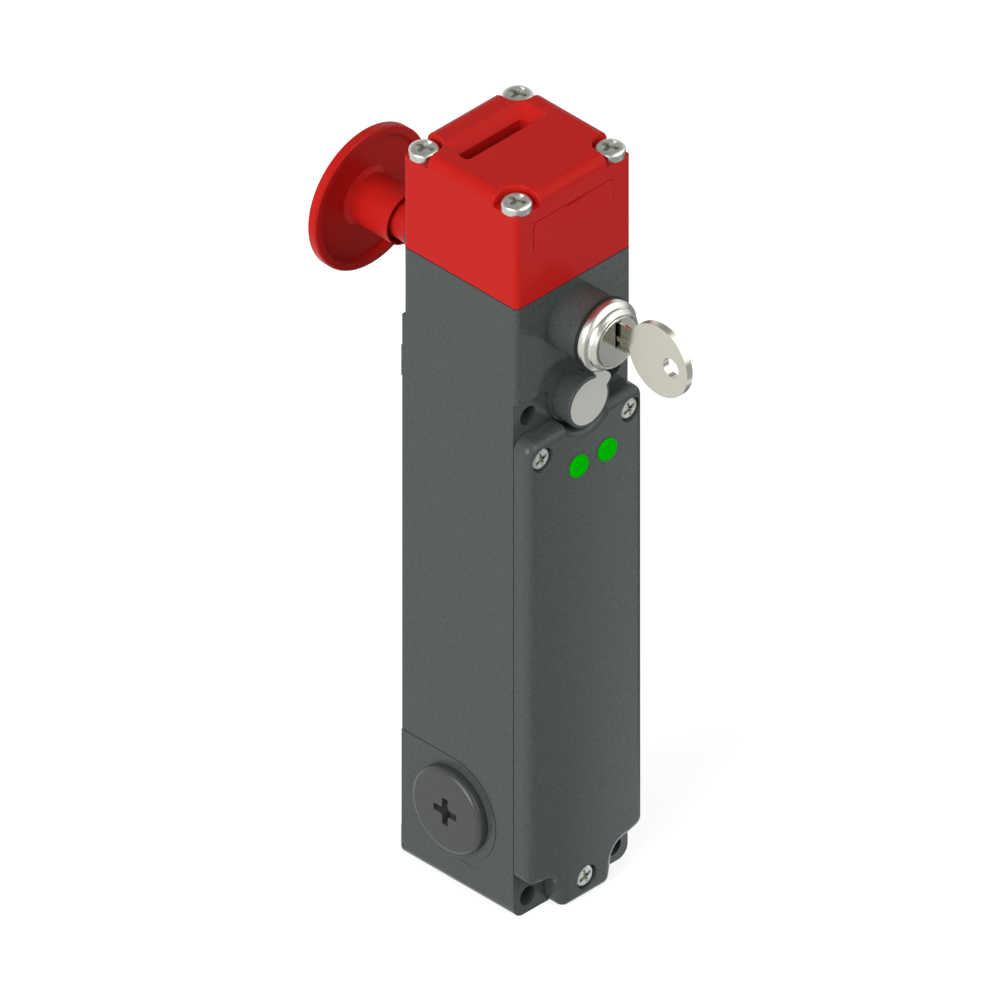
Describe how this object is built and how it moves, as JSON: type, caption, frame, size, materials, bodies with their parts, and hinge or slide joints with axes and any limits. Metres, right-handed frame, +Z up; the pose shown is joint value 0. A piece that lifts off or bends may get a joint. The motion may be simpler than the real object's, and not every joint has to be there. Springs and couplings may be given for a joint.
{
  "type": "guard locking switch",
  "caption": "Slim guard locking switch with a turnable actuator head, solenoid lock, key release and escape button.",
  "frame": {"origin": "centre of the cable entry's mouth on the bottom face, on the head's axis", "axes": "+Z up along the housing, -Y out of the front with the cover and the key, +Y out of the mounting side"},
  "size_m": [0.0466, 0.1169, 0.218],
  "materials": {
    "housing_paint": "powder coated die casting",
    "red_plastic": "satin moulded",
    "rubber_seal": "matte",
    "green_lens": "glossy translucent",
    "board": "solder masked",
    "grey_plastic": "moulded",
    "cap_plastic": "moulded",
    "sleeve_plastic": "moulded",
    "black_plastic": "moulded",
    "zinc_cam": "turned",
    "steel": "zinc plated",
    "copper_coil": "enamelled wire under tape",
    "brass_contacts": "plain",
    "nickel": "nickel plated"
  },
  "bodies": {
    "switch_body": {"housing": "housing_paint", "head_casing": "red_plastic", "slot_insert": "red_plastic", "head_gasket": "rubber_seal", "head_screw_1": "steel", "head_screw_2": "steel", "head_screw_3": "steel", "head_screw_4": "steel", "front_cover": "housing_paint", "cover_gasket": "rubber_seal", "cover_screw_left": "steel", "cover_screw_right": "steel", "cover_screw_foot": "steel", "lens_left": "green_lens", "lens_right": "green_lens", "indicator_board": "board", "cam_shaft": "steel", "cam_bearings": "black_plastic", "lock_body": "nickel", "lock_seal": "rubber_seal", "lock_nut": "nickel", "escape_sleeve": "sleeve_plastic", "plug_gasket_left": "rubber_seal", "plug_gasket_right": "rubber_seal", "conduit_plug_left": "grey_plastic", "conduit_plug_right": "grey_plastic", "solenoid_frame": "steel", "solenoid_bobbin": "black_plastic", "solenoid_coil": "copper_coil", "pole_piece": "steel", "solenoid_screws": "steel", "contact_block": "black_plastic", "fixed_contacts": "brass_contacts", "terminal_screws": "steel", "block_screws": "steel", "earth_screw": "brass_contacts", "lock_spring": "steel", "follower_spring": "steel"},
    "lock_plug_body": {"lock_plug": "nickel", "lock_cam": "steel"},
    "key_body": {"key": "nickel"},
    "release_body": {"release_spindle": "steel", "release_seal": "rubber_seal", "release_clip": "steel"},
    "cap_body": {"release_cap": "cap_plastic"},
    "escape_body": {"escape_button": "red_plastic", "escape_rod": "red_plastic", "escape_clip": "steel"},
    "cam_body": {"actuating_cam": "zinc_cam"},
    "bolt_body": {"locking_rod": "steel", "armature": "steel", "release_yoke": "steel"},
    "follower_body": {"follower": "black_plastic", "contact_bridge": "brass_contacts"}
  },
  "joints": [
    {"name": "key_turn", "type": "hinge", "parent": "switch_body", "child": "lock_plug_body", "pos_m": [0, -0.02, 0.175], "axis": [0, 1, 0], "range_deg": [0, 180]},
    {"name": "key_pull", "type": "slide", "parent": "lock_plug_body", "child": "key_body", "axis": [0, -1, 0], "range_m": [0, 0.02]},
    {"name": "release_turn", "type": "hinge", "parent": "switch_body", "child": "release_body", "pos_m": [0, -0.02, 0.1515], "axis": [0, 1, 0], "range_deg": [0, 180]},
    {"name": "release_cap_pull", "type": "slide", "parent": "switch_body", "child": "cap_body", "axis": [0, -1, 0], "range_m": [0, 0.01]},
    {"name": "escape_push", "type": "slide", "parent": "switch_body", "child": "escape_body", "axis": [0, -1, 0], "range_m": [0, 0.005]},
    {"name": "cam_turn", "type": "hinge", "parent": "switch_body", "child": "cam_body", "pos_m": [0, 0, 0.1985], "axis": [-1, 0, 0], "range_deg": [0, 60]},
    {"name": "follower_slide", "type": "slide", "parent": "switch_body", "child": "follower_body", "axis": [0, 0, 1], "range_m": [0, 0.004], "deforming": ["follower_spring"]},
    {"name": "lock_slide", "type": "slide", "parent": "switch_body", "child": "bolt_body", "axis": [0, 0, -1], "range_m": [0, 0.004], "stiffness_N_per_m": 300, "springref_m": -0.005, "deforming": ["lock_spring"]}
  ],
  "couplings": [
    {"joint": "cam_turn", "follows": "follower_slide", "rad_per_m": 261.79}
  ]
}
